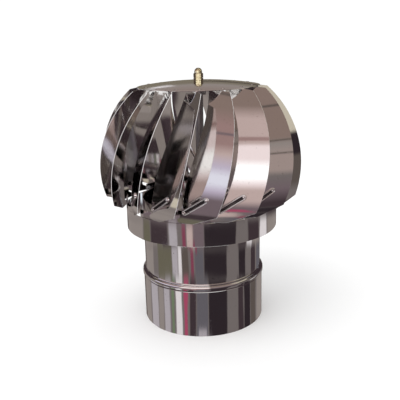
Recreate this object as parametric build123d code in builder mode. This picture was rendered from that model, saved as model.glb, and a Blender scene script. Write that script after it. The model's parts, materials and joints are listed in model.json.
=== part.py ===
from build123d import *
from math import acos, cos, degrees, pi, radians, sin, sqrt, tan
import os

# Roof turbine ventilator: a round head of curved vanes that the wind turns on a flue socket.
# Millimetres, +Z up, origin on the axis at the foot of the socket.

# Sheet metal
sheet = 0.6                      # thickness of every sheet piece

# Flue socket and neck, one rolled tube
flue_radius = 75.0               # bore of the socket, slides over a 150 mm flue
socket_height = 56.7             # straight wall under the bead
bead_height = 7.0                # stop bead rolled above the socket
bead_rise = 1.2
bead_slope = 2.2                 # height of the bead's sloping sides
groove_height = 1.6              # groove between the bead and the neck
groove_depth = 1.2
neck_step = 2.6                  # from the socket's wall in to the neck's
neck_top = 156.0

# Bridges: two flat bars across the neck that carry the bearing housing
bridge_width = 18.0
bridge_thickness = 2.0
bridge_tab = 16.0                # bent end that follows the neck wall
bridge_eye = 6.0                 # ring of the bar round the housing
upper_bridge_drop = 6.0          # from the neck's top edge
bridge_spacing = 36.0

# Bearing housing
housing_radius = 16.5
housing_overhang = 10.0          # past each bridge
shoulder = 1.5                   # step that stops each bearing

# Shielded ball bearings, 10 x 26 x 8
bearing_bore = 5.0               # radius
bearing_outer = 13.0             # radius
bearing_width = 8.0
inner_ring_wall = 2.2
shield_clearance = 0.1           # between the shields and the inner ring
bearing_recess = 2.4             # from the housing's end to the bearing

# Spindle and its retaining ring
circlip_thickness = 1.0
circlip_depth = 0.8              # how far the ring sits in its groove
circlip_height = 2.0             # how far it stands out of its groove
spindle_tail = 4.0               # below the ring
spindle_collar_width = 2.0
spindle_collar_height = 6.0
stud_radius = 3.0                # reduced threaded end

# Cap and its hub
cap_radius = 72.6
cap_rise = 6.0
cap_height = 295.6               # top of the dome
cap_flat = 9.0                   # radius of the flat seat at the axis
hub_wall = 3.5
hub_flange = 3.0
hub_height = 16.0

# Brass nuts
nut_flats = 10.0                 # across flats
lock_nut_height = 3.0
acorn_hex_height = 5.5
acorn_inset = 0.4                # of the dome from the flats
acorn_height = 11.6

# Collar of the rotor, round the neck
collar_gap = 20.1
collar_bottom = 120.1
collar_height = 27.3

# Head: the free edges of the vanes lie on one sphere
head_overhang = 28.5             # of the sphere past the collar
vane_top_radius = 80.0           # from the axis to the vanes' outer corners under the cap

# Vanes: flat blanks rolled to one radius about a level axis
vane_count = 16
vane_azimuth = -54.0             # of the first vane's normal, from -Y towards +X
vane_bend = 200.9                # radius of the outer face
vane_bend_drop = 34.6            # of the bend axis below the middle of the head
vane_inset = 3.4                 # of the outer face inside the collar's wall
vane_heel = 43.0                 # where the lower edge leaves the collar, measured across
vane_lift = 1.0                  # of the lower edge above the collar there
vane_slope = 20.5                # of the lower edge, degrees from level
vane_widths = (40.6, 49.3, 45.0, 36.0, 25.6)     # at even levels from the foot to the cap
foot_width = 19.0                # foot tab, spot-welded inside the collar
foot_depth = 14.0
foot_rise = 9.0                  # above the collar
tab_width = 13.0                 # top tab, riveted under the cap
tab_length = 13.0
tab_skew = 7.0
tab_inset = 7.0                  # from the vane's outer corner

# Stays: pressed straps low on the outer face of each vane
stay_length = 38.0
stay_width = 6.5
stay_height = 1.6
stay_groove = 2.6
stay_groove_depth = 0.9
stay_inset = 30.9                # of a stay's middle from the vane's free edge
stay_rise = 22.1                 # of its middle above the collar
stay_slope = 32.0                # degrees from level

# Worked out from the sizes above
socket_radius = flue_radius + sheet
bead_top = socket_height + bead_height
groove_bottom = bead_top + groove_height / 2
neck_radius = socket_radius - neck_step
neck_inner = neck_radius - sheet
upper_bridge_top = neck_top - upper_bridge_drop
upper_bridge_bottom = upper_bridge_top - bridge_thickness
lower_bridge_bottom = upper_bridge_bottom - bridge_spacing
housing_top = upper_bridge_top + housing_overhang
housing_bottom = lower_bridge_bottom - housing_overhang
lower_bearing = housing_bottom + bearing_recess
upper_bearing = housing_top - bearing_recess - bearing_width
inner_ring_radius = bearing_bore + inner_ring_wall
circlip_bottom = lower_bearing - circlip_thickness
spindle_bottom = circlip_bottom - spindle_tail
spindle_collar_bottom = upper_bearing + bearing_width
spindle_collar_top = spindle_collar_bottom + spindle_collar_height
cap_sphere = (cap_radius**2 + cap_rise**2) / (2 * cap_rise)
cap_centre = cap_height - cap_sphere
cap_seat = cap_centre + sqrt(cap_sphere**2 - cap_flat**2)
cap_rim = cap_height - cap_rise - sheet
hub_top = cap_seat - sheet
flange_bottom = hub_top - hub_flange
lock_nut_top = cap_seat + lock_nut_height
top = lock_nut_top + acorn_height
collar_radius = neck_radius + collar_gap + sheet
collar_inner = collar_radius - sheet
collar_top = collar_bottom + collar_height
foot_inner = collar_inner - sheet
foot_top = collar_top + foot_rise
head_radius = collar_radius + head_overhang
head_height = cap_rim - sqrt(head_radius**2 - vane_top_radius**2)
bend_height = head_height - vane_bend_drop
bend_axis = collar_radius - vane_inset - vane_bend
vane_pitch = 360 / vane_count
reach = 2 * head_radius          # past every vane


def save(part, name):
    part.label = name
    export_step(part, f"parts/{name}.step")


def ring(inner, outer, bottom, height):
    """Plain ring about the axis."""
    with BuildPart() as band:
        with BuildSketch(Plane.XY.offset(bottom)):
            Circle(outer)
            Circle(inner, mode=Mode.SUBTRACT)
        extrude(amount=height)
    return band.part


def turned(*profile):
    """Turned piece from the points of its half section, radius and height."""
    with BuildPart() as piece:
        with BuildSketch(Plane.XZ):
            with BuildLine():
                Polyline(*profile, close=True)
            make_face()
        revolve(axis=Axis.Z)
    return piece.part


os.makedirs("parts", exist_ok=True)

# ---------------------------------------------------------------- flue socket and neck
with BuildPart() as neck:
    with BuildSketch(Plane.XZ):
        with BuildLine():
            Polyline(
                (socket_radius, 0),
                (socket_radius, socket_height),
                (socket_radius + bead_rise, socket_height + bead_slope),
                (socket_radius + bead_rise, bead_top - bead_slope),
                (socket_radius, bead_top),
                (neck_radius - groove_depth, groove_bottom),
                (neck_radius, groove_bottom + groove_height),
                (neck_radius, neck_top),
            )
            offset(amount=sheet, side=Side.LEFT)
        make_face()
    revolve(axis=Axis.Z)
save(neck.part, "flue_neck")


# ---------------------------------------------------------------- bridges and bearing housing
def bridge(bottom, tab_bottom):
    """Flat bar along X across the neck, with an eye for the housing and both ends bent along the wall."""
    with BuildPart() as bar:
        with BuildSketch(Plane.XY.offset(bottom)):
            Circle(neck_inner)
            Rectangle(2 * neck_inner, bridge_width, mode=Mode.INTERSECT)
            Circle(housing_radius + bridge_eye)
            Circle(housing_radius, mode=Mode.SUBTRACT)
        extrude(amount=bridge_thickness)
        with BuildSketch(Plane.XY.offset(tab_bottom)):
            Circle(neck_inner)
            Rectangle(2 * neck_inner, bridge_width, mode=Mode.INTERSECT)
            Circle(neck_inner - bridge_thickness, mode=Mode.SUBTRACT)
        extrude(amount=bridge_tab)
    return bar.part


lower_bridge = bridge(lower_bridge_bottom, lower_bridge_bottom)
upper_bridge = bridge(upper_bridge_bottom, upper_bridge_top - bridge_tab)
save(lower_bridge, "bridge_lower")
save(upper_bridge.rotate(Axis.Z, 90), "bridge_upper")

with BuildPart() as housing:
    add(ring(bearing_outer - shoulder, housing_radius, housing_bottom, housing_top - housing_bottom))
    for seat in (housing_bottom, upper_bearing):
        with BuildSketch(Plane.XY.offset(seat)):
            Circle(bearing_outer)
        extrude(amount=bearing_recess + bearing_width, mode=Mode.SUBTRACT)
save(housing.part, "bearing_housing")

# ---------------------------------------------------------------- ball bearings
# The outer ring, with its shields and what they close in, is one solid.
for name, level in (("lower", lower_bearing), ("upper", upper_bearing)):
    shielded = ring(inner_ring_radius + shield_clearance, bearing_outer, level, bearing_width)
    save(shielded, f"{name}_bearing_outer")
    save(ring(bearing_bore, inner_ring_radius, level, bearing_width), f"{name}_bearing_inner")

# ---------------------------------------------------------------- spindle
spindle = turned(
    (0, spindle_bottom),
    (bearing_bore, spindle_bottom),
    (bearing_bore, circlip_bottom),
    (bearing_bore - circlip_depth, circlip_bottom),
    (bearing_bore - circlip_depth, lower_bearing),
    (bearing_bore, lower_bearing),
    (bearing_bore, spindle_collar_bottom),
    (bearing_bore + spindle_collar_width, spindle_collar_bottom),
    (bearing_bore + spindle_collar_width, spindle_collar_top),
    (bearing_bore, spindle_collar_top),
    (bearing_bore, flange_bottom),
    (stud_radius, flange_bottom),
    (stud_radius, lock_nut_top + acorn_hex_height),
    (0, lock_nut_top + acorn_hex_height),
)
save(spindle, "spindle")
circlip = ring(
    bearing_bore - circlip_depth, bearing_bore + circlip_height, circlip_bottom, circlip_thickness
)
save(circlip, "spindle_circlip")

# ---------------------------------------------------------------- cap and its hub
hub = turned(
    (stud_radius, hub_top),
    (cap_flat, hub_top),
    (cap_flat, flange_bottom),
    (bearing_bore + hub_wall, flange_bottom),
    (bearing_bore + hub_wall, hub_top - hub_height),
    (bearing_bore, hub_top - hub_height),
    (bearing_bore, flange_bottom),
    (stud_radius, flange_bottom),
)
save(hub, "cap_hub")


def dome_level(radius, depth=0.0):
    """Height of the cap's dome at a radius, or of the surface that runs a depth under it."""
    return cap_centre + sqrt((cap_sphere - depth)**2 - radius**2)


def dome_sheet(inner, outer, depth):
    """Sheet that follows the dome from one radius to another, its top face a depth under the dome."""
    middle = (inner + outer) / 2
    corners = [[(radius, dome_level(radius, under)) for radius in (inner, middle, outer)]
               for under in (depth, depth + sheet)]
    with BuildPart() as band:
        with BuildSketch(Plane.XZ):
            with BuildLine():
                for face in corners:
                    ThreePointArc(*face)
                Line(corners[0][0], corners[1][0])
                Line(corners[0][2], corners[1][2])
            make_face()
        revolve(axis=Axis.Z)
    return band.part


with BuildPart() as cap:
    add(dome_sheet(cap_flat - sheet, cap_radius, 0))
    add(ring(stud_radius, cap_flat, hub_top, sheet))
save(cap.part, "cap")

# ---------------------------------------------------------------- collar
save(ring(collar_inner, collar_radius, collar_bottom, collar_height), "collar")


# ---------------------------------------------------------------- vanes
# A vane is made in its own frame, with X along its normal and Y across it.
def vane_distance(height, depth=0.0):
    """Distance from the axis to a vane's outer face, or to the surface that runs a depth inside it."""
    return bend_axis + sqrt((vane_bend - depth)**2 - (height - bend_height)**2)


def free_edge(height):
    """How far across a vane's free edge lies, on the sphere of the head."""
    return sqrt(head_radius**2 - (height - head_height)**2 - vane_distance(height)**2)


def rolled(outer_depth, inner_depth):
    """Block between two surfaces rolled about the bend axis, from the collar to above the cap."""
    levels = (collar_bottom, (collar_bottom + cap_height) / 2, cap_height)
    corners = [[(vane_distance(level, depth), level) for level in levels]
               for depth in (outer_depth, inner_depth)]
    with BuildPart() as block:
        with BuildSketch(Plane.XZ.offset(-reach)):
            with BuildLine():
                for face in corners:
                    ThreePointArc(*face)
                Line(corners[0][0], corners[1][0])
                Line(corners[0][2], corners[1][2])
            make_face()
        extrude(amount=reach)
    return block.part


level_step = (cap_rim - foot_top) / (len(vane_widths) - 1)
inner_edge = []
for index, width in enumerate(vane_widths):
    level = foot_top + index * level_step
    inner_edge.append((free_edge(level) - width, level))
inner_top = (inner_edge[-1][0], cap_height)
lower_edge_end = collar_top + vane_lift + (reach - vane_heel) * tan(radians(vane_slope))

with BuildPart() as outline:
    with BuildSketch(Plane.YZ):
        with BuildLine():
            Spline(*inner_edge)
            Polyline(
                inner_edge[-1],
                inner_top,
                (reach, cap_height),
                (reach, lower_edge_end),
                (vane_heel, collar_top + vane_lift),
                (0, collar_top + vane_lift),
                (0, foot_top),
                inner_edge[0],
            )
        make_face()
    extrude(amount=reach)

tab_root = vane_distance(cap_rim)
tab_outer = free_edge(cap_rim) - tab_inset
with BuildPart() as top_tab:
    add(dome_sheet(tab_root / 2, head_radius, sheet))
    with BuildSketch(Plane.XY.offset(cap_rim - cap_rise)):
        Polygon(
            (tab_root + tab_inset, tab_outer - tab_width),
            (tab_root + tab_inset, tab_outer),
            (tab_root, tab_outer),
            (tab_root - tab_length, tab_outer - tab_skew),
            (tab_root - tab_length, tab_outer - tab_skew - tab_width),
            (tab_root, tab_outer - tab_width),
            align=None,
        )
    extrude(amount=3 * cap_rise, mode=Mode.INTERSECT)
    add(rolled(0, tab_root / 2), mode=Mode.INTERSECT)

foot_end = degrees(acos(vane_distance(collar_top, sheet) / collar_inner))
foot_start = foot_end - degrees(foot_width / collar_inner)
with BuildPart() as foot:
    with BuildSketch(Plane.XY.offset(collar_top - foot_depth)):
        with BuildLine():
            for radius in (foot_inner, collar_inner):
                CenterArc((0, 0), radius, foot_start, foot_end - foot_start)
            for turn in (radians(foot_start), radians(foot_end)):
                Line(
                    (foot_inner * cos(turn), foot_inner * sin(turn)),
                    (collar_inner * cos(turn), collar_inner * sin(turn)),
                )
        make_face()
    extrude(amount=foot_depth + foot_rise)

with BuildPart() as vane:
    add(rolled(0, sheet))
    add(outline.part, mode=Mode.INTERSECT)
    with Locations((0, 0, head_height)):
        Sphere(head_radius, mode=Mode.INTERSECT)
    with Locations((0, 0, cap_centre)):
        Sphere(cap_sphere - sheet, mode=Mode.INTERSECT)
    with BuildSketch(Plane.XY.offset(collar_bottom)):
        Circle(foot_inner)
    extrude(amount=foot_top - collar_bottom, mode=Mode.SUBTRACT)
    add(top_tab.part)
    add(foot.part)


def vane_turn(index):
    """Turn from a vane's own frame to its place round the axis."""
    return Rotation(0, 0, vane_azimuth - 90 + index * vane_pitch)


for index in range(vane_count):
    save(vane_turn(index) * vane.part, f"vane_{index + 1:02d}")

# ---------------------------------------------------------------- stays
stay_level = collar_top + stay_rise
stay_across = free_edge(stay_level) - stay_inset


def on_vane(outer_depth, inner_depth, length, width):
    """Strap with round ends that follows a vane's face between two depths."""
    with BuildPart() as strap:
        add(rolled(outer_depth, inner_depth))
        with BuildSketch(Plane.YZ):
            with Locations(Location((stay_across, stay_level, 0), (0, 0, stay_slope))):
                SlotOverall(length, width)
        extrude(amount=reach, mode=Mode.INTERSECT)
    return strap.part


with BuildPart() as stay:
    add(on_vane(-stay_height, 0, stay_length, stay_width))
    groove_length = stay_length - stay_width + stay_groove
    groove_floor = stay_groove_depth - stay_height
    add(on_vane(-2 * stay_height, groove_floor, groove_length, stay_groove), mode=Mode.SUBTRACT)
save(Compound([vane_turn(index) * stay.part for index in range(vane_count)]), "vane_stays")

# ---------------------------------------------------------------- brass nuts
with BuildPart() as lock_nut:
    with BuildSketch(Plane.XY.offset(cap_seat)):
        RegularPolygon(nut_flats / 2, 6, major_radius=False)
        Circle(stud_radius, mode=Mode.SUBTRACT)
    extrude(amount=lock_nut_height)
save(lock_nut.part, "lock_nut")

dome_radius = nut_flats / 2 - acorn_inset
dome_base = top - dome_radius
with BuildPart() as acorn:
    with BuildSketch(Plane.XY.offset(lock_nut_top)):
        RegularPolygon(nut_flats / 2, 6, major_radius=False)
    extrude(amount=acorn_hex_height)
    with BuildSketch(Plane.XZ):
        with BuildLine():
            Line((0, lock_nut_top), (dome_radius, lock_nut_top))
            Line((dome_radius, lock_nut_top), (dome_radius, dome_base))
            CenterArc((0, dome_base), dome_radius, 0, 90)
            Line((0, top), (0, lock_nut_top))
        make_face()
    revolve(axis=Axis.Z)
    with BuildSketch(Plane.XY.offset(lock_nut_top)):
        Circle(stud_radius)
    extrude(amount=acorn_hex_height, mode=Mode.SUBTRACT)
save(acorn.part, "acorn_nut")
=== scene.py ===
"""Roof turbine ventilator: a round head of curved vanes turning on a flue socket, in a plain studio.

Sizes are in millimetres until a piece is written to its mesh. +Z is up, the origin is on the axis at the
foot of the socket and -Y is the front. Azimuths run from -Y towards +X.
"""
import json
from math import cos, pi, radians, sin, sqrt

import bmesh
import bpy
import numpy as np
from mathutils import Matrix, Vector


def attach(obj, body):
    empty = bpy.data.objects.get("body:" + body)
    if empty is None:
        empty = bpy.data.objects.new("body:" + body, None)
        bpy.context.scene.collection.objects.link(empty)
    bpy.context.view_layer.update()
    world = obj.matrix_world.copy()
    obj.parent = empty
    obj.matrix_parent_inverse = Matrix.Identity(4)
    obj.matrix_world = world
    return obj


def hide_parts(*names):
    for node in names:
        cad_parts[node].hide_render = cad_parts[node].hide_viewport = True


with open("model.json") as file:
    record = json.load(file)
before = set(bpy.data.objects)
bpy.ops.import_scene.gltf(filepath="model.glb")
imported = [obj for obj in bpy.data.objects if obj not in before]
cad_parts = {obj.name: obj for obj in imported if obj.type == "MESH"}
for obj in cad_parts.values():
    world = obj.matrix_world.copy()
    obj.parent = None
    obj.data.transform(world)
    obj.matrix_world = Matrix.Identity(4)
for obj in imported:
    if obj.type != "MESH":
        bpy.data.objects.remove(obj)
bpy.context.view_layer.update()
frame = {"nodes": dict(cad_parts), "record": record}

# ---------------------------------------------------------------- sizes
sheet = 0.6
socket_radius, socket_height = 75.6, 56.7
bead_top, bead_rise = 63.7, 1.2
neck_radius, neck_top, groove_depth = 73.0, 156.0, 1.2
collar_radius, collar_bottom, collar_top = 93.7, 120.1, 147.4
seam_azimuth, lap_rise = -49.0, 0.5
cap_radius, cap_height, cap_rise, cap_flat = 72.6, 295.6, 6.0, 9.0
cap_sphere = (cap_radius**2 + cap_rise**2) / (2 * cap_rise)
cap_centre = cap_height - cap_sphere
cap_rim = cap_height - cap_rise - sheet
cap_seat = cap_centre + sqrt(cap_sphere**2 - cap_flat**2)
stud_radius = 3.0
nut_flats, nut_corners, lock_nut_height, acorn_height = 10.0, 5.8, 3.0, 11.6
head_radius, vane_top_radius = 122.2, 80.0
head_height = cap_rim - sqrt(head_radius**2 - vane_top_radius**2)
vane_bend, vane_bend_drop, vane_inset = 200.9, 34.6, 3.4
bend_height = head_height - vane_bend_drop
bend_axis = collar_radius - vane_inset - vane_bend
vane_count, vane_azimuth = 16, -54.0
vane_widths = np.array([40.6, 49.3, 45.0, 36.0, 25.6])      # at even levels from the foot to the cap
vane_start, vane_heel, vane_corner, vane_slope = 21.0, 43.0, 74.5, 20.5
vane_lift = 1.0                                             # of the lower edge above the collar
foot_top, foot_bottom, foot_inner = collar_top + 9, collar_top - 14, collar_radius - 2 * sheet
foot_start, foot_end = 4.7, 16.4                            # round the axis from the vane's normal, in degrees
tab_inset, tab_width, tab_skew, tab_length = 7.0, 13.0, 7.0, 13.5
stay_length, stay_width, stay_slope = 38.0, 6.5, radians(32.0)
stay_rise, stay_inset = 22.1, 30.9                          # of its middle, from the collar and the free edge
rivet_normal, rivet_across, rivet_radius, rivet_rise = 37.9, 54.0, 1.9, 0.5
pin_radius, pin_rise = 1.5, 0.8


# ---------------------------------------------------------------- meshes
def put(name, shells, body, material, sharp=35.0, edge_highlight=None):
    """Writes shells, each a pair of (points in mm, quads), into one object on a body.

    Given a second material, the first shell's bottom and free edges are painted apart in it: here a lighter
    paint, a painted highlight along the edges.
    """
    points, faces, count = [], [], 0
    for xyz, quads in shells:
        points.append(xyz.reshape(-1, 3))
        faces.append(quads + count)
        count += len(points[-1])
    mesh = bpy.data.meshes.new(name)
    mesh.from_pydata(np.concatenate(points) / 1000, [], np.concatenate(faces).tolist())
    mesh.materials.append(material)
    if edge_highlight is not None:
        mesh.materials.append(edge_highlight)
        # The quads of the edges follow those of both faces: the bottom edge first and the free edge next.
        rows, columns = shells[0][0].shape[1:3]
        first = 2 * (rows - 1) * (columns - 1)
        painted = np.zeros(len(mesh.polygons), dtype=int)
        painted[first:first + rows + columns - 2] = 1
        mesh.polygons.foreach_set("material_index", painted)
    work = bmesh.new()
    work.from_mesh(mesh)
    bmesh.ops.remove_doubles(work, verts=work.verts, dist=2e-6)
    bmesh.ops.dissolve_degenerate(work, edges=work.edges, dist=1e-7)
    bmesh.ops.recalc_face_normals(work, faces=work.faces)
    work.to_mesh(mesh)
    work.free()
    mesh.polygons.foreach_set("use_smooth", np.ones(len(mesh.polygons), dtype=bool))
    mesh.set_sharp_from_angle(angle=radians(sharp))
    piece = bpy.data.objects.new(name, mesh)
    bpy.context.scene.collection.objects.link(piece)
    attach(piece, body)
    return piece


def grid(rows, columns, round_rows=False, round_columns=False):
    """Quads between neighbours of a grid of points, wrapped where a direction is closed."""
    index = np.arange(rows * columns).reshape(rows, columns)
    if round_rows:
        index = np.vstack([index, index[:1]])
    if round_columns:
        index = np.hstack([index, index[:, :1]])
    return np.stack([index[:-1, :-1], index[:-1, 1:], index[1:, 1:], index[1:, :-1]], -1).reshape(-1, 4)


def shell(front, back):
    """Closed sheet between two grids of points: front, back and the four edges between them."""
    rows, columns = front.shape[:2]
    inside = grid(rows, columns)
    index = np.arange(rows * columns).reshape(rows, columns)
    rim = np.concatenate([index[0], index[1:, -1], index[-1, -2::-1], index[-2:0:-1, 0]])
    other = np.roll(rim, -1)
    edge = np.stack([rim, other, other + rows * columns, rim + rows * columns], -1)
    return np.stack([front, back]), np.concatenate([inside, inside[:, ::-1] + rows * columns, edge])


def turned(profile, steps=256, swell=None):
    """Closed profile of (radius, height) carried round the axis; swell(azimuth) adds to the radius."""
    radius, height = np.array(profile, float).T
    azimuth = np.linspace(-pi, pi, steps, endpoint=False)
    if swell is not None:
        near = radians(seam_azimuth) + radians(1.0) * np.linspace(-1, 1, 21)
        azimuth = np.unique(np.concatenate([azimuth, near]))
    out = radius[:, None] + (swell(azimuth) if swell is not None else 0 * azimuth)[None, :]
    xyz = np.stack([out * np.sin(azimuth), -out * np.cos(azimuth),
                    np.broadcast_to(height[:, None], out.shape)], -1)
    return xyz, grid(len(radius), len(azimuth), True, True)


def sheet_profile(line):
    """Closed profile of a sheet from the line of its outer face: the line, and the same line moved in."""
    line = np.array(line, float)
    run = np.gradient(line, axis=0)
    run /= np.linalg.norm(run, axis=1)[:, None]
    inner = line + sheet * np.stack([-run[:, 1], run[:, 0]], -1)
    return np.concatenate([line, inner[::-1]])


def lap(azimuth):
    """Rise of a rolled sheet's end over its start: it steps up at the seam and fades over a quarter turn."""
    turn = np.mod(azimuth - radians(seam_azimuth), 2 * pi)
    return lap_rise * np.clip(1 - turn / (pi / 2), 0, 1)


def hexagon(azimuth, flats):
    """Radius of a hexagon of that width across flats at each azimuth."""
    return flats / 2 / np.cos(np.mod(azimuth, pi / 3) - pi / 6)


def nut(rows, steps=96):
    """Nut from rows of (height, round radius): each point is on the hexagon or the round, whichever is less."""
    height, limit = np.array(rows, float).T
    azimuth = np.linspace(0, 2 * pi, steps, endpoint=False)
    radius = np.minimum(hexagon(azimuth, nut_flats)[None, :], limit[:, None])
    xyz = np.stack([radius * np.cos(azimuth), radius * np.sin(azimuth),
                    np.broadcast_to(height[:, None], radius.shape)], -1)
    return xyz, grid(len(height), steps, False, True)


def dome_level(radius, depth=0.0):
    """Height of the cap's dome at a radius, or of the surface a depth under it."""
    return cap_centre + np.sqrt((cap_sphere - depth)**2 - radius**2)


def vane_distance(height, depth=0.0):
    """Distance from the axis to a vane's outer face, a cylinder about a level axis, or to a depth inside it."""
    return bend_axis + np.sqrt((vane_bend - depth)**2 - (height - bend_height)**2)


def free_edge(height):
    """How far across a vane's free edge lies, where its face meets the sphere of the head."""
    return np.sqrt(head_radius**2 - (height - head_height)**2 - vane_distance(height)**2)


edge_levels = np.linspace(foot_top, cap_rim, 5)
edge_curve = np.polyfit(edge_levels, free_edge(edge_levels) - vane_widths, 4)


def inner_edge(height):
    """How far across a vane's inner edge lies: a smooth curve, and near the collar a turn down to the foot."""
    lift = np.clip((height - collar_top - vane_lift) / (foot_top - collar_top - vane_lift), 0, 1)
    low = vane_start + (np.polyval(edge_curve, foot_top) - vane_start) * lift**2
    return np.where(height < foot_top, low, np.polyval(edge_curve, height))


def place(normal, across, height, index):
    """Points of a vane's own frame, carried to vane number index."""
    turn = radians(vane_azimuth + 360 / vane_count * index)
    return np.stack([normal * sin(turn) + across * cos(turn),
                     -normal * cos(turn) + across * sin(turn), height], -1)


# ---------------------------------------------------------------- materials
class Socket:
    """A socket in a shader, with the operators that Math nodes give."""

    def __init__(self, shader, socket):
        self.shader, self.socket = shader, socket

    def __add__(self, other):
        return self.shader.math("ADD", self, other)

    def __sub__(self, other):
        return self.shader.math("SUBTRACT", self, other)

    def __rsub__(self, other):
        return self.shader.math("SUBTRACT", other, self)

    def __mul__(self, other):
        return self.shader.math("MULTIPLY", self, other)

    __radd__, __rmul__ = __add__, __mul__


class Shader:
    """A material built node by node."""

    def __init__(self, name):
        self.material = bpy.data.materials.new(name)
        self.material.use_nodes = True
        self.nodes, self.links = self.material.node_tree.nodes, self.material.node_tree.links
        self.nodes.clear()

    def add(self, kind, settings=(), inputs=(), output=0):
        """New node: settings first, then its sockets' values or links. A ramp's stops are a setting too."""
        node = self.nodes.new(kind)
        for key, value in dict(settings).items():
            if key == "stops":
                marks = node.color_ramp.elements
                for stop, (position, colour) in enumerate(value):
                    mark = marks[stop] if stop < len(marks) else marks.new(position)
                    mark.position, mark.color = position, colour
            else:
                setattr(node, key, value)
        for key, value in dict(inputs).items():
            if isinstance(value, Socket):
                self.links.new(value.socket, node.inputs[key])
            else:
                node.inputs[key].default_value = value
        return Socket(self, node.outputs[output]) if node.outputs else None

    def math(self, operation, *values):
        """A Math node's result."""
        return self.add("ShaderNodeMath", {"operation": operation}, dict(enumerate(values)))

    def place(self):
        """Object coordinates."""
        return self.add("ShaderNodeTexCoord", output="Object")

    def stretch(self, scale):
        """Object coordinates scaled along each axis."""
        return self.add("ShaderNodeMapping", inputs={"Vector": self.place(), "Scale": scale})

    def noise(self, vector, scale, detail=3.0, roughness=0.5):
        """Soft noise between 0 and 1."""
        return self.add("ShaderNodeTexNoise", inputs={
            "Vector": vector, "Scale": scale, "Detail": detail, "Roughness": roughness})

    def blend(self, factor, first, second):
        """Colour between two colours."""
        return self.add("ShaderNodeMix", {"data_type": "RGBA"}, {0: factor, 6: first, 7: second}, 2)

    def ease(self, value, low, high):
        """0 below low, 1 above high and a smooth step between."""
        return self.add("ShaderNodeMapRange", {"interpolation_type": "SMOOTHSTEP"}, {
            "Value": value, "From Min": low, "From Max": high})

    def surface(self, **values):
        """Principled surface from its sockets, underscores for spaces, and the material's output."""
        return self.finish(self.add("ShaderNodeBsdfPrincipled", inputs={
            key.replace("_", " "): value for key, value in values.items()}))

    def finish(self, shader):
        """The material, with a shader on its surface."""
        self.add("ShaderNodeOutputMaterial", inputs={"Surface": shader})
        return self.material


def tone(red, green, blue, gain=1.0):
    """Linear colour from the three display values of 0 to 255."""
    value = np.array([red, green, blue]) / 255
    linear = np.where(value <= 0.04045, value / 12.92, ((value + 0.055) / 1.055)**2.4) * gain
    return (*linear.tolist(), 1.0)


def polished_steel(name, wave, haze, dark=(0.80, 0.785, 0.775, 1), light=(0.86, 0.85, 0.845, 1)):
    """Mirror-polished sheet: faint clouding and rubbing marks, and the slight waves of rolled sheet."""
    steel = Shader(name)
    cloud = steel.noise(steel.place(), 28.0, 4.0)
    rub = steel.noise(steel.stretch((900.0, 900.0, 60.0)), 1.0, 2.0)
    specks = steel.ease(steel.noise(steel.place(), 420.0, 2.0), 0.66, 0.74)
    colour = steel.blend(cloud, dark, light)
    ripple = steel.noise(steel.place(), 16.0, 1.0)
    bump = steel.add("ShaderNodeBump", inputs={"Strength": 1.0, "Distance": wave, "Height": ripple})
    fine = steel.add("ShaderNodeBump", inputs={
        "Strength": 0.06, "Distance": 0.00005, "Height": rub, "Normal": bump})
    return steel.surface(Base_Color=steel.blend(specks * 0.35, colour, (0.45, 0.44, 0.43, 1)), Metallic=1.0,
                         Roughness=haze + cloud * 0.05 + rub * 0.03 + specks * 0.1, Normal=fine)


def turned_steel(name, dark, light, roughness):
    """Turned metal: fine rings round the axis, clouded colour."""
    steel = Shader(name)
    rings = steel.noise(steel.stretch((4.0, 4.0, 3500.0)), 1.0, 2.0)
    cloud = steel.noise(steel.place(), 60.0, 3.0)
    bump = steel.add("ShaderNodeBump", inputs={"Strength": 0.25, "Distance": 0.0001, "Height": rings})
    return steel.surface(Base_Color=steel.blend(cloud, dark, light), Metallic=1.0,
                         Roughness=roughness + rings * 0.15, Normal=bump)


def pale_edge_highlight(name):
    """Sheared edges of a sheet in pale satin metal, lighter than the sheet: a painted highlight along the
    edges.
    """
    steel = Shader(name)
    cloud = steel.noise(steel.place(), 300.0, 2.0)
    colour = steel.blend(cloud, (0.80, 0.78, 0.78, 1), (0.94, 0.92, 0.92, 1))
    return steel.surface(Base_Color=colour, Metallic=0.25, Roughness=cloud * 0.2 + 0.35)


# Pale paint for the vanes' edges: a painted highlight that draws a bright line along each one.
edge_highlight_material = pale_edge_highlight("pale_edge_highlight")
vane_metal = polished_steel("vane_sheet", 0.0003, 0.02)
tube_metal = polished_steel("tube_sheet", 0.0003, 0.01)
cap_metal = polished_steel("cap_sheet", 0.0003, 0.05)
# A lighter copy of the vanes' polished steel for the straps, pins and cap rivets: painted lighter so they read
# as highlights against the vanes.
strap_steel_painted_lighter = polished_steel("stay_strap", 0.0001, 0.04, (0.94, 0.93, 0.93, 1), (0.98, 0.98, 0.98, 1))
# Nearly black steel for the floors of the straps' slots: painted shade in the recess between each strap's
# raised rims.
slot_painted_shade = turned_steel("strap_slot", (0.07, 0.06, 0.07, 1), (0.13, 0.12, 0.12, 1), 0.35)
machined = turned_steel("turned_bar", (0.42, 0.42, 0.43, 1), (0.6, 0.6, 0.6, 1), 0.25)
race_metal = turned_steel("ground_race", (0.5, 0.5, 0.52, 1), (0.66, 0.66, 0.67, 1), 0.12)
brass = turned_steel("bright_brass", (0.86, 0.78, 0.47, 1), (0.95, 0.90, 0.62, 1), 0.20)
by_slot = {"polished_steel": tube_metal, "turned_steel": machined, "bearing_steel": race_metal, "brass": brass}
slots = {part["node"]: part["material_slot"] for part in frame["record"]["subparts"]}
for name, node in frame["nodes"].items():
    node.data.materials.clear()
    node.data.materials.append(by_slot[slots[name]])

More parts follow.
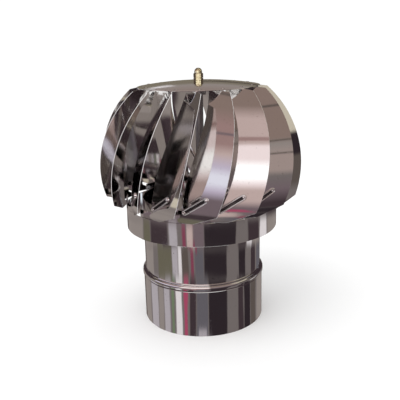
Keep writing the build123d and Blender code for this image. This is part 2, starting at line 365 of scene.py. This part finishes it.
# ---------------------------------------------------------------- neck and collar
bead_middle = (socket_height + bead_top) / 2
bead_half = (bead_top - socket_height) / 2
swing = np.linspace(-pi / 2, pi / 2, 13)
bead = np.stack([socket_radius + bead_rise * np.maximum(np.cos(swing), 0)**0.7,
                 bead_middle + bead_half * np.sin(swing)], -1)
neck_line = np.concatenate([
    [(socket_radius, 0.0), (socket_radius, 0.5), (socket_radius, 20.0), (socket_radius, 55.0)], bead,
    [(neck_radius + 0.4, bead_top + 0.25), (neck_radius - groove_depth, bead_top + 0.9),
     (neck_radius - groove_depth + 0.2, bead_top + 1.5), (neck_radius, bead_top + 2.4),
     (neck_radius, bead_top + 3.0), (neck_radius, 110.0), (neck_radius, neck_top - 0.5),
     (neck_radius, neck_top)]])
neck = put("neck_tube", [turned(sheet_profile(neck_line), swell=lap)], "base", tube_metal)
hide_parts("flue_neck")

collar_line = [(collar_radius - 0.15, collar_bottom), (collar_radius, collar_bottom + 0.2),
               (collar_radius, collar_bottom + 1), (collar_radius, (collar_bottom + collar_top) / 2),
               (collar_radius, collar_top - 1), (collar_radius, collar_top - 0.2),
               (collar_radius - 0.15, collar_top)]
# The collar's radius is over its lap, so the rest of the band lies a little further in.
collar = put("collar_band", [turned(sheet_profile(collar_line), swell=lambda a: lap(a) - lap_rise)],
             "rotor", tube_metal)
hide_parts("collar")

# ---------------------------------------------------------------- cap
reach = np.concatenate([[cap_flat - 0.6, cap_flat], np.linspace(cap_flat + 1, cap_radius - 0.5, 24)])
top_rows = np.stack([reach, dome_level(reach)], -1)
under_rows = np.stack([reach, dome_level(reach, sheet)], -1)[::-1]
cap_profile = np.concatenate([
    [(stud_radius, cap_seat), (cap_flat - 1.2, cap_seat)], top_rows,
    [(cap_radius - 0.1, cap_height - cap_rise + 0.05), (cap_radius, cap_height - cap_rise - 0.2),
     (cap_radius - 0.15, cap_rim + 0.03)], under_rows,
    [(cap_flat - 1.2, cap_seat - sheet), (stud_radius, cap_seat - sheet)]])
cap = put("cap_dome", [turned(cap_profile)], "rotor", cap_metal)
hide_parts("cap")


def rivet(centre, axis, radius, height, steps=20):
    """Low round head: radius falls as the cosine and height grows as the sine of one angle; flat underneath."""
    lean = np.linspace(0, pi / 2, 6)[:, None]
    turn = np.linspace(0, 2 * pi, steps, endpoint=False)[None, :]
    axis = np.array(axis) / np.linalg.norm(axis)
    side = np.cross(axis, (0, 0, 1) if abs(axis[2]) < 0.9 else (1, 0, 0))
    side /= np.linalg.norm(side)
    other = np.cross(axis, side)
    ring = np.cos(turn)[..., None] * side + np.sin(turn)[..., None] * other
    head = (np.cos(lean) * radius)[..., None] * ring + (np.sin(lean) * height)[..., None] * axis
    foot = head[:1] - 0.1 * axis
    xyz = np.concatenate([0 * foot - 0.1 * axis, foot, head]) + np.array(centre)
    return xyz, grid(len(xyz), steps, False, True)


heads = []
for index in range(vane_count):
    spot = place(np.array(rivet_normal), np.array(rivet_across), np.array(0.0), index)
    level = float(dome_level(float(np.hypot(spot[0], spot[1]))))
    axis = (spot[0], spot[1], level - cap_centre)
    heads.append(rivet((spot[0], spot[1], level), axis, rivet_radius, rivet_rise))
put("cap_rivets", heads, "rotor", strap_steel_painted_lighter)

# ---------------------------------------------------------------- vanes
# Each column of a blade keeps one share of the way from the inner to the free edge. It runs from the lower
# edge, level and then sloping up, to the underside of the cap: each pass of the loop brings its top closer.
low_t = np.concatenate([np.linspace(vane_start, vane_heel, 12), np.linspace(vane_heel, vane_corner, 22)[1:]])
low_z = collar_top + vane_lift + np.clip(low_t - vane_heel, 0, None) * np.tan(radians(vane_slope))
share = (low_t - inner_edge(low_z)) / (free_edge(low_z) - inner_edge(low_z))
share = np.clip(share / share[-1], 0, 1)
rows = np.linspace(0, 1, 56)[:, None]
top_z = np.full(len(share), cap_rim)
for _ in range(6):
    across_top = inner_edge(top_z) + share * (free_edge(top_z) - inner_edge(top_z))
    top_z = dome_level(np.hypot(vane_distance(top_z), across_top), sheet)
height = low_z[None, :] + rows * (top_z - low_z)[None, :]
across = inner_edge(height) + share[None, :] * (free_edge(height) - inner_edge(height))
inward, sideways = np.linspace(0, 1, 8)[:, None], np.linspace(0, 1, 8)[None, :]
tab_n = vane_distance(cap_rim) + 0.5 - tab_length * inward + 0 * sideways
tab_t = free_edge(cap_rim) - tab_inset - tab_width * sideways - tab_skew * inward
tab_r = np.hypot(tab_n, tab_t)
foot_turn = np.radians(np.linspace(foot_start, foot_end, 10))[None, :]
foot_z = np.linspace(foot_bottom, foot_top, 6)[:, None]
for index in range(vane_count):
    blade = shell(place(vane_distance(height), across, height, index),
                  place(vane_distance(height, sheet), across, height, index))
    tab = shell(place(tab_n, tab_t, dome_level(tab_r, sheet + 0.02), index),
                place(tab_n, tab_t, dome_level(tab_r, 2 * sheet), index))
    foot = shell(*(place(radius * np.cos(foot_turn) + 0 * foot_z, radius * np.sin(foot_turn) + 0 * foot_z,
                         foot_z + 0 * foot_turn, index) for radius in (foot_inner + sheet - 0.02, foot_inner)))
    # Its bottom and free edges take the pale paint, a painted highlight along them.
    vane = put(f"vane_sheet_{index + 1:02d}", [blade, tab, foot], "rotor", vane_metal,
               edge_highlight=edge_highlight_material)
    rounding = vane.modifiers.new("edges", "BEVEL")
    rounding.width, rounding.segments, rounding.limit_method = 0.00016, 2, "ANGLE"
    rounding.angle_limit = radians(40)
    rounding.harden_normals = False
    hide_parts(f"vane_{index + 1:02d}")

# ---------------------------------------------------------------- stays
stay_level = collar_top + stay_rise
stay_across = free_edge(stay_level) - stay_inset
half_run = (stay_length - stay_width) / 2
bend = np.linspace(-pi / 2, pi / 2, 15)
loop_x = np.repeat([half_run, -half_run], len(bend))
loop_dx = np.concatenate([np.cos(bend), -np.cos(bend)])
loop_dy = np.concatenate([np.sin(bend), -np.sin(bend)])


def strap_rows(reaches, rises):
    """Loops of a strap: at each row its reach from the strap's middle line and its rise over the vane."""
    reaches, rises = np.array(reaches)[:, None], np.array(rises)[:, None]
    along, over = loop_x + reaches * loop_dx, reaches * loop_dy
    return (stay_across + along * cos(stay_slope) - over * sin(stay_slope),
            stay_level + along * sin(stay_slope) + over * cos(stay_slope), rises)


rim_rows = strap_rows([1.3, 1.45, 1.7, 1.9, 2.2, 2.6, 2.9, 3.05, 3.18, 3.25, 3.25, 1.3],
                      [0.88, 1.05, 1.35, 1.5, 1.58, 1.55, 1.4, 1.2, 0.8, 0.0, -0.02, -0.02])
slot_rows = strap_rows([0.0, 0.6, 1.1, 1.3, 1.3, 0.6, 0.0], [0.15, 0.35, 0.7, 0.88, -0.02, -0.02, -0.02])
straps, slot_shade_floors, pins = [], [], []
for index in range(vane_count):
    for shells, (t, z, rises), ring in ((straps, rim_rows, True), (slot_shade_floors, slot_rows, False)):
        shells.append((place(vane_distance(z, -rises), t, z, index), grid(*t.shape, ring, True)))
    for step in (-1, 1):
        t, z = stay_across + step * half_run * cos(stay_slope), stay_level + step * half_run * sin(stay_slope)
        slope = vane_distance(z + 0.5) - vane_distance(z - 0.5)
        centre = place(vane_distance(z, -0.7), np.array(t), np.array(z), index)
        tip = place(np.array(1.0), np.array(0.0), np.array(-slope), index)
        pins.append(rivet(centre, tip, pin_radius, pin_rise, 16))
stays = put("vane_straps", straps, "rotor", strap_steel_painted_lighter, 60)
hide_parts("vane_stays")
# Dark floors inside the straps' slots: painted shade in each slot.
put("strap_slots", slot_shade_floors, "rotor", slot_painted_shade, 60)
put("strap_pins", pins, "rotor", strap_steel_painted_lighter)

# ---------------------------------------------------------------- nuts
tip_radius, nut_round = nut_flats / 2 - 0.4, nut_flats / 2
base = cap_seat
lock_rows = [(base, stud_radius), (base, nut_round), (base + 0.4, nut_corners), (base + 2.6, nut_corners),
             (base + lock_nut_height, nut_round), (base + lock_nut_height, stud_radius), (base, stud_radius)]
lock = put("lock_nut_brass", [nut(lock_rows)], "rotor", brass, 25)
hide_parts("lock_nut")
base = cap_seat + lock_nut_height
climb = np.linspace(0, pi / 2, 12)
crown = np.stack([base + acorn_height - tip_radius + tip_radius * np.sin(climb),
                  np.maximum(tip_radius * np.cos(climb), 0)], -1)
acorn_rows = np.concatenate([
    [(base, 0), (base, nut_round), (base + 0.4, nut_corners), (base + 4.9, nut_corners),
     (base + 5.5, 4.75), (base + 5.7, tip_radius)], crown])
acorn = put("acorn_nut_brass", [nut(acorn_rows)], "rotor", brass, 25)
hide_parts("acorn_nut")

# ---------------------------------------------------------------- camera
yaw, pitch, roll = -0.0023265, 0.2755873, -0.0248237        # in radians
forward = Vector((sin(yaw) * cos(pitch), cos(yaw) * cos(pitch), -sin(pitch)))
right = Vector((cos(yaw), -sin(yaw), 0))
up = right.cross(forward)
side = cos(roll) * right + sin(roll) * up
rise = -sin(roll) * right + cos(roll) * up
camera = bpy.data.objects.new("camera", bpy.data.cameras.new("camera"))
facing = Matrix((side, rise, -forward)).transposed().to_4x4()
eye = Vector((0, -0.6994, 0.3460))
camera.matrix_world = Matrix.Translation(eye) @ facing
film, focal_share = 36.0, 580.21 / 400                      # width in mm, focal length as a share of it
camera.data.sensor_width, camera.data.lens = film, focal_share * film
bpy.context.scene.collection.objects.link(camera)
bpy.context.scene.camera = camera

# ---------------------------------------------------------------- studio
def stage_mesh(name, xyz, quads, material):
    """Smooth mesh, points in metres, that belongs to the studio and not to the object."""
    mesh = bpy.data.meshes.new(name)
    mesh.from_pydata(xyz.reshape(-1, 3), [], quads.tolist())
    mesh.polygons.foreach_set("use_smooth", np.ones(len(mesh.polygons), dtype=bool))
    piece = bpy.data.objects.new(name, mesh)
    bpy.context.scene.collection.objects.link(piece)
    mesh.materials.append(material)
    return piece


paints = {"white": (255, 255, 255), "pale": (214, 214, 226), "lilac": (182, 172, 190), "rose": (182, 162, 158),
          "blush": (230, 215, 215), "taupe": (128, 111, 104), "clay": (146, 120, 117), "dusk": (106, 93, 98),
          "plum": (59, 49, 53), "ink": (43, 36, 40), "cream": (188, 180, 164), "moss": (112, 105, 92),
          "olive": (98, 94, 80), "umber": (86, 78, 74), "berry": (156, 70, 96), "ash": (108, 101, 100),
          "silver": (210, 205, 207), "stone": (136, 128, 124), "sky": (222, 230, 238), "slate": (92, 89, 95),
          "leaf": (104, 118, 94), "mist": (164, 158, 163), "wine": (122, 62, 80), "fawn": (151, 136, 131)}
# Walls of the studio as the metal sees them: azimuths of both edges, and paints by elevation from the foot up.
walls = [
    (-98, -42, ((-14, "dusk"), (-7, "dusk"), (-1, "lilac"), (4, "pale"), (9, "pale"), (15, "lilac"),
                (23, "rose"), (29, "clay"), (40, "clay"), (50, "taupe"))),
    (-42, 12, ((-14, "dusk"), (-9, "rose"), (-1, "rose"), (3, "blush"), (8.5, "white"), (15, "white"),
               (21, "blush"), (30, "blush"), (32, "rose"), (50, "rose"), (60, "taupe"))),
    (12, 66, ((-14, "plum"), (-5, "dusk"), (4, "ash"), (8, "fawn"), (19, "fawn"), (26, "stone"),
              (30, "taupe"), (70, "taupe"))),
    (66, 110, ((-12, "ash"), (-7, "umber"), (7, "umber"), (9, "ink"), (20, "ink"), (22, "cream"),
               (60, "cream"))),
    (110, 166, ((-10, "plum"), (-3, "plum"), (60, "ink"))),
    (-168, -134, ((-15, "stone"), (-12.5, "cream"), (-11, "cream"), (-10, "ink"), (2, "plum"), (5, "stone"),
                  (12, "stone"), (16, "plum"), (40, "plum"))),
    (-134, -98, ((-17, "stone"), (-12, "ash"), (-6, "umber"), (-2, "plum"), (27, "plum"), (29, "umber"),
                 (60, "umber"))),
]
back_wall = ((-14, "stone"), (-9, "moss"), (14, "moss"), (18, "stone"), (30, "taupe"), (60, "taupe"))
# Things that stand along the walls, low down, in three tiers: the top of the tier, then for each thing the
# azimuths of both edges and the paint.
tiers = [
    (-17.5, [(-180, -152, "umber"), (-150, -97, "stone"), (-96, -83, "olive"), (-82, -51, "plum"),
             (-49, -36, "mist"), (-30, -24, "wine"), (-22, -14, "rose"), (-13, 2, "dusk"), (3, 50, "ink"),
             (52, 70, "ash"), (72, 94, "plum"), (97, 114, "silver"), (116, 158, "stone"), (160, 180, "umber")]),
    (-21.0, [(-180, -152, "umber"), (-150, -113, "stone"), (-112, -98, "ash"), (-96, -62, "olive"),
             (-61, -49, "mist"), (-48, -41, "silver"), (-40, -29, "umber"), (-24, -18, "wine"),
             (-15, 1, "slate"), (2, 47, "ink"), (49, 71, "ash"), (74, 92, "ink"), (94, 106, "ash"),
             (110, 126, "plum"), (132, 158, "slate"), (160, 180, "umber")]),
    (-24.5, [(-180, -152, "umber"), (-150, -123, "stone"), (-120, -96, "mist"), (-94, -82, "stone"),
             (-80, -66, "mist"), (-63, -57, "leaf"), (-53, -41, "silver"), (-37, -31, "berry"),
             (-27, -15, "plum"), (-13, 7, "slate"), (9, 45, "ink"), (47, 67, "ash"), (70, 82, "plum"),
             (84, 101, "ink"), (103, 120, "umber"), (124, 158, "stone"), (160, 180, "umber")]),
]
# Panes and rails: azimuths of both edges, elevations of both, and the paint.
panes = [
    (-161, -148, -9.0, -6.8, "sky"), (-158.5, -153.2, 3.2, 9.5, "white"), (-98, -42, 34.3, 35.7, "dusk"),
    (-42, 12, 33.8, 36.6, "clay"), (12, 66, 51.0, 52.4, "umber"), (12, 66, 27.8, 28.8, "umber"),
    (12, 66, 19.0, 20.0, "umber"), (-98, -42, 56.5, 57.6, "umber"), (-15.5, -12, -17.0, -15.2, "berry"),
    (-14, -10, -21.6, -19.8, "wine"), (-108, -98, -13.0, -8.5, "cream"), (-9, 5, -31.4, -30.4, "mist"),
    (-20, 14, -40.0, -31.4, "mist"), (170, 180, 9.2, 11.0, "ink"), (-175, -171.5, 15.0, 18.0, "silver"),
    (138, 150, 2.0, 9.0, "sky"), (111, 118, -16.5, -13.5, "sky"), (-73, -62, -3.0, -0.5, "sky"),
]


surround_radius, surround_middle = 3.0, 0.16                # in metres, the middle at half the object's height
steps_round, steps_up = 96, 40


def surround_paint():
    """Glow of the studio's walls, things and panes, which only the metal sees.

    A point of the surround is known by the azimuth and elevation, in degrees, of its direction from the
    surround's middle.
    """
    card = Shader("studio_surround")
    raised = card.add("ShaderNodeMapping", inputs={
        "Vector": card.place(), "Location": (0, 0, -surround_middle)})
    ray = card.add("ShaderNodeVectorMath", {"operation": "NORMALIZE"}, {0: raised})
    x, y, z = (card.add("ShaderNodeSeparateXYZ", inputs={0: ray}, output=axis) for axis in "XYZ")
    azimuth = card.math("ARCTAN2", x, y * -1) * (180 / pi)
    elevation = card.math("ARCSINE", z) * (180 / pi)

    def paint(name):
        """Colour of a paint, a little brighter than it looks, for what the metal takes away."""
        return tone(*paints[name], gain=1.4 if name == "white" else 1.25)

    def wall(stops):
        """Paints blended from level to level."""
        ramp = [((level + 90) / 180, paint(name)) for level, name in stops]
        return card.add("ShaderNodeValToRGB", {"stops": ramp}, {"Fac": elevation * (1 / 180) + 0.5})

    def between(value, low, high, soft):
        """1 between low and high, with soft ends; an end at half a turn stays open."""
        mask = 1.0
        if low > -180:
            mask = card.ease(value, low - soft, low + soft) * mask
        if high < 180:
            mask = (1 - card.ease(value, high - soft, high + soft)) * mask
        return mask

    colour = wall(back_wall)
    for left_end, right_end, stops in walls:
        colour = card.blend(between(azimuth, left_end, right_end, 3.0), colour, wall(stops))
    wander = azimuth + (card.noise(card.place(), 2.2) - 0.5) * 9
    for top, things in tiers:
        below = 1 - card.ease(elevation, top - 0.7, top + 0.7)
        colour = card.blend(below, colour, paint("ash"))
        for left_end, right_end, name in things:
            colour = card.blend(between(wander, left_end, right_end, 1.3) * below, colour, paint(name))
    for left_end, right_end, low, high, name in panes:
        mask = between(wander, left_end, right_end, 0.6) * between(elevation, low, high, 0.4)
        colour = card.blend(mask, colour, paint(name))
    colour = card.blend(card.ease(elevation, 76.0, 82.0), colour, paint("pale"))
    colour = card.blend(1 - card.ease(elevation, -36.0, -32.5), colour, paint("plum"))
    colour = card.blend(1 - card.ease(elevation, -57.0, -51.0), colour, paint("stone"))
    return card.finish(card.add("ShaderNodeEmission", inputs={"Color": colour, "Strength": 1.0}))


turn, lift = np.meshgrid(np.linspace(-pi, pi, steps_round, endpoint=False), np.linspace(-1.2, pi / 2, steps_up))
surround_xyz = surround_radius * np.stack([
    np.cos(lift) * np.sin(turn), -np.cos(lift) * np.cos(turn), np.sin(lift)], -1)
surround = stage_mesh("studio_surround", surround_xyz, grid(steps_up, steps_round, False, True),
                      surround_paint())
surround.visible_camera = surround.visible_diffuse = surround.visible_transmission = False
surround.visible_shadow = surround.visible_volume_scatter = False

floor_paint = Shader("studio_floor")
grain = floor_paint.noise(floor_paint.place(), 3.0)
floor_white = floor_paint.blend(grain, (0.9, 0.9, 0.9, 1), (0.94, 0.94, 0.94, 1))
floor_surface = floor_paint.surface(Base_Color=floor_white, Roughness=0.9, Specular_IOR_Level=0.0)
floor_reach = 12.0                                          # in metres
floor_x, floor_y = np.meshgrid(*[np.linspace(-floor_reach, floor_reach, 3)] * 2)
floor = stage_mesh("studio_floor_sheet", np.stack([floor_x, floor_y, 0 * floor_x], -1), grid(3, 3),
                   floor_surface)
floor.visible_glossy = False

world = bpy.data.worlds.new("studio")
bpy.context.scene.world = world
world.use_nodes = True
back = world.node_tree.nodes["Background"]
back.inputs["Color"].default_value = (1, 1, 1, 1)
back.inputs["Strength"].default_value = 1.1

key = bpy.data.objects.new("soft_key", bpy.data.lights.new("soft_key", "AREA"))
key.data.shape, key.data.size, key.data.energy = "DISK", 1.6, 12.0
key_place, key_target = Vector((-0.8, -0.9, 2.0)), Vector((0, 0, 0.2))
aim = (key_place - key_target).to_track_quat("Z", "Y").to_matrix().to_4x4()
key.matrix_world = Matrix.Translation(key_place) @ aim
key.visible_glossy = False
bpy.context.scene.collection.objects.link(key)
bpy.context.scene.view_settings.view_transform = "Standard"
